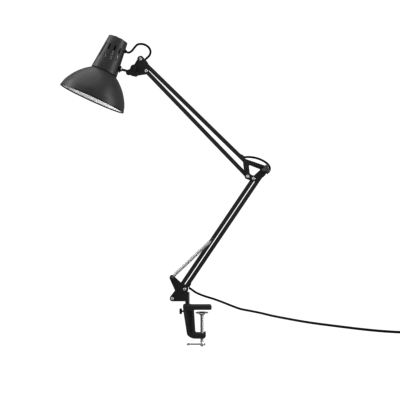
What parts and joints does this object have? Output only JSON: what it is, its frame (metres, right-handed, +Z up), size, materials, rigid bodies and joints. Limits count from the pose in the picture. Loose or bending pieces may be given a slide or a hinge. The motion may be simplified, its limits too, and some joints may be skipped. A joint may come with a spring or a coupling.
{
  "type": "architect desk lamp",
  "caption": "Desk-clamp architect lamp with two parallelogram arms of square tube, tension springs and a deep round shade that tilts and turns on its head bracket.",
  "frame": {"origin": "on the flat underside of the clamp's upper jaw, above the clamp screw's axis, where the jaw rests on the desk top", "axes": "+Z up; +X from the clamp post over the desk, in the plane the arms move in; +Y across the arms, away from the hand knobs"},
  "size_m": [0.9128, 0.4677, 0.7774],
  "materials": {
    "black_enamel": "satin black enamel on steel",
    "cast_black": "black enamel on a fine cast surface",
    "shade_enamel": "satin charcoal enamel outside, white inside, black bead at the rim",
    "zinc_plate": "bright zinc plate",
    "spring_steel": "drawn spring wire",
    "pin_brass": "plain brass, nickel plated on the plug pins",
    "holder_ceramic": "glazed white lampholder",
    "grey_plastic": "moulded dark grey plastic",
    "black_plastic": "moulded black plastic",
    "cord_vinyl": "smooth black vinyl sheath"
  },
  "bodies": {
    "clamp": {"clamp_frame": "cast_black", "mains_cord": "cord_vinyl", "mains_coil": "cord_vinyl", "coil_tie": "black_plastic", "mains_tail": "cord_vinyl", "plug_body": "black_plastic", "plug_pin_1": "pin_brass", "plug_pin_2": "pin_brass"},
    "post_lock": {"thumb_screw": "black_plastic"},
    "pad": {"clamp_pad": "zinc_plate"},
    "screw": {"clamp_screw": "zinc_plate"},
    "screw_bar": {"tommy_bar": "zinc_plate"},
    "base_bracket": {"swivel_post": "black_enamel", "base_plate_front": "black_enamel", "base_plate_rear": "black_enamel", "base_rivet_left": "zinc_plate", "base_rivet_right": "zinc_plate"},
    "springs": {"spring_front": "spring_steel", "spring_rear": "spring_steel"},
    "lower_left_arm": {"lower_rod_left": "black_enamel", "spring_arm_pin": "black_enamel"},
    "lower_right_arm": {"lower_rod_right": "black_enamel", "sleeve_lower_base": "black_plastic", "sleeve_lower_elbow": "black_plastic", "lead_in_lower_rod": "cord_vinyl"},
    "elbow": {"elbow_plate_front": "black_enamel", "elbow_plate_rear": "black_enamel", "elbow_rivet_lower": "zinc_plate", "elbow_rivet_upper": "zinc_plate", "elbow_pin_top": "black_enamel", "elbow_bolt": "zinc_plate", "elbow_loop_cord": "cord_vinyl"},
    "elbow_lock": {"elbow_knob": "grey_plastic"},
    "upper_outer_arm": {"upper_rod_outer": "black_enamel", "sleeve_upper_elbow": "black_plastic", "sleeve_upper_head": "black_plastic", "lead_in_upper_rod": "cord_vinyl"},
    "upper_inner_arm": {"upper_rod_inner": "black_enamel"},
    "head_bracket": {"head_plate_front": "black_enamel", "head_plate_rear": "black_enamel", "head_rivet_top": "zinc_plate", "head_rivet_bottom_front": "zinc_plate", "head_rivet_bottom_rear": "zinc_plate", "knuckle_bolt": "zinc_plate", "head_loop_cord": "cord_vinyl"},
    "head_lock": {"head_knob": "black_plastic"},
    "stem": {"head_stem": "black_enamel", "stem_nut": "zinc_plate"},
    "shade": {"stem_flange": "black_plastic", "stem_lock_nut": "zinc_plate", "cowl": "shade_enamel", "bowl_shade": "shade_enamel", "lampholder_body": "holder_ceramic", "lampholder_shell": "pin_brass", "lampholder_contact": "pin_brass", "lampholder_carrier": "zinc_plate", "switch_housing": "black_plastic", "cord_gland": "black_plastic"},
    "rocker": {"rocker_button": "black_plastic"}
  },
  "joints": [
    {"name": "post_lock_turn", "type": "hinge", "parent": "clamp", "child": "post_lock", "pos_m": [-0.05, 0, -0.0055], "axis": [1, 0, 0], "range_deg": [-180, 180]},
    {"name": "pad_slide", "type": "slide", "parent": "clamp", "child": "pad", "axis": [0, 0, 1], "range_m": [-0.0442, 0.0083]},
    {"name": "screw_turn", "type": "hinge", "parent": "pad", "child": "screw", "pos_m": [0, 0, -0.05], "axis": [0, 0, 1], "range_deg": [-12600, 2340]},
    {"name": "bar_slide", "type": "slide", "parent": "screw", "child": "screw_bar", "axis": [1, 0, 0], "range_m": [0, 0.026]},
    {"name": "base_swivel", "type": "hinge", "parent": "clamp", "child": "base_bracket", "pos_m": [-0.0364, 0, 0.03], "axis": [0, 0, 1], "range_deg": [-120, 120], "deforming": ["mains_cord"]},
    {"name": "lower_arm", "type": "hinge", "parent": "base_bracket", "child": "lower_right_arm", "pos_m": [-0.04325, 0, 0.05025], "axis": [0, -1, 0], "range_deg": [-3, 49]},
    {"name": "lower_arm_left", "type": "hinge", "parent": "base_bracket", "child": "lower_left_arm", "pos_m": [-0.07375, 0, 0.02675], "axis": [0, -1, 0], "range_deg": [-3, 49]},
    {"name": "spring_swing", "type": "hinge", "parent": "base_bracket", "child": "springs", "pos_m": [-0.0755, 0, 0.079], "axis": [0, -1, 0], "range_deg": [-4.2, 67.2], "deforming": ["spring_front", "spring_rear"]},
    {"name": "elbow_level", "type": "hinge", "parent": "lower_right_arm", "child": "elbow", "pos_m": [0.15888, 0, 0.34936], "axis": [0, -1, 0], "range_deg": [-49, 3]},
    {"name": "elbow_knob_turn", "type": "hinge", "parent": "elbow", "child": "elbow_lock", "pos_m": [0.15888, 0, 0.34936], "axis": [0, -1, 0], "range_deg": [-180, 180]},
    {"name": "upper_arm", "type": "hinge", "parent": "elbow", "child": "upper_outer_arm", "pos_m": [0.10898, 0, 0.36816], "axis": [0, -1, 0], "range_deg": [0, 45], "deforming": ["elbow_loop_cord"]},
    {"name": "upper_arm_inner", "type": "hinge", "parent": "elbow", "child": "upper_inner_arm", "pos_m": [0.11363, 0, 0.33136], "axis": [0, -1, 0], "range_deg": [0, 46.5]},
    {"name": "head_level", "type": "hinge", "parent": "upper_outer_arm", "child": "head_bracket", "pos_m": [-0.1531, 0, 0.62375], "axis": [0, -1, 0], "range_deg": [-61.5, 0]},
    {"name": "head_knob_turn", "type": "hinge", "parent": "head_bracket", "child": "head_lock", "pos_m": [-0.1725, 0, 0.5915], "axis": [0, -1, 0], "range_deg": [-180, 180]},
    {"name": "head_tilt", "type": "hinge", "parent": "head_bracket", "child": "stem", "pos_m": [-0.1725, 0, 0.5915], "axis": [0, -1, 0], "range_deg": [-45, 50], "deforming": ["head_loop_cord"]},
    {"name": "head_swivel", "type": "hinge", "parent": "stem", "child": "shade", "pos_m": [-0.1725, 0, 0.5915], "axis": [-0.9703, 0, 0.2419], "range_deg": [-60, 60]},
    {"name": "rocker_tip", "type": "hinge", "parent": "shade", "child": "rocker", "pos_m": [-0.20881, 0, 0.67502], "axis": [0, -1, 0], "range_deg": [0, 9]}
  ],
  "couplings": [
    {"joint": "pad_slide", "follows": "screw_turn", "m_per_rad": 0.00019894},
    {"joint": "lower_arm_left", "follows": "lower_arm", "ratio": 1},
    {"joint": "elbow_level", "follows": "lower_arm", "ratio": -1},
    {"joint": "spring_swing", "follows": "lower_arm", "ratio": 1.367},
    {"joint": "upper_arm_inner", "follows": "upper_arm", "ratio": 1.028},
    {"joint": "head_level", "follows": "upper_arm", "ratio": -1.36}
  ]
}
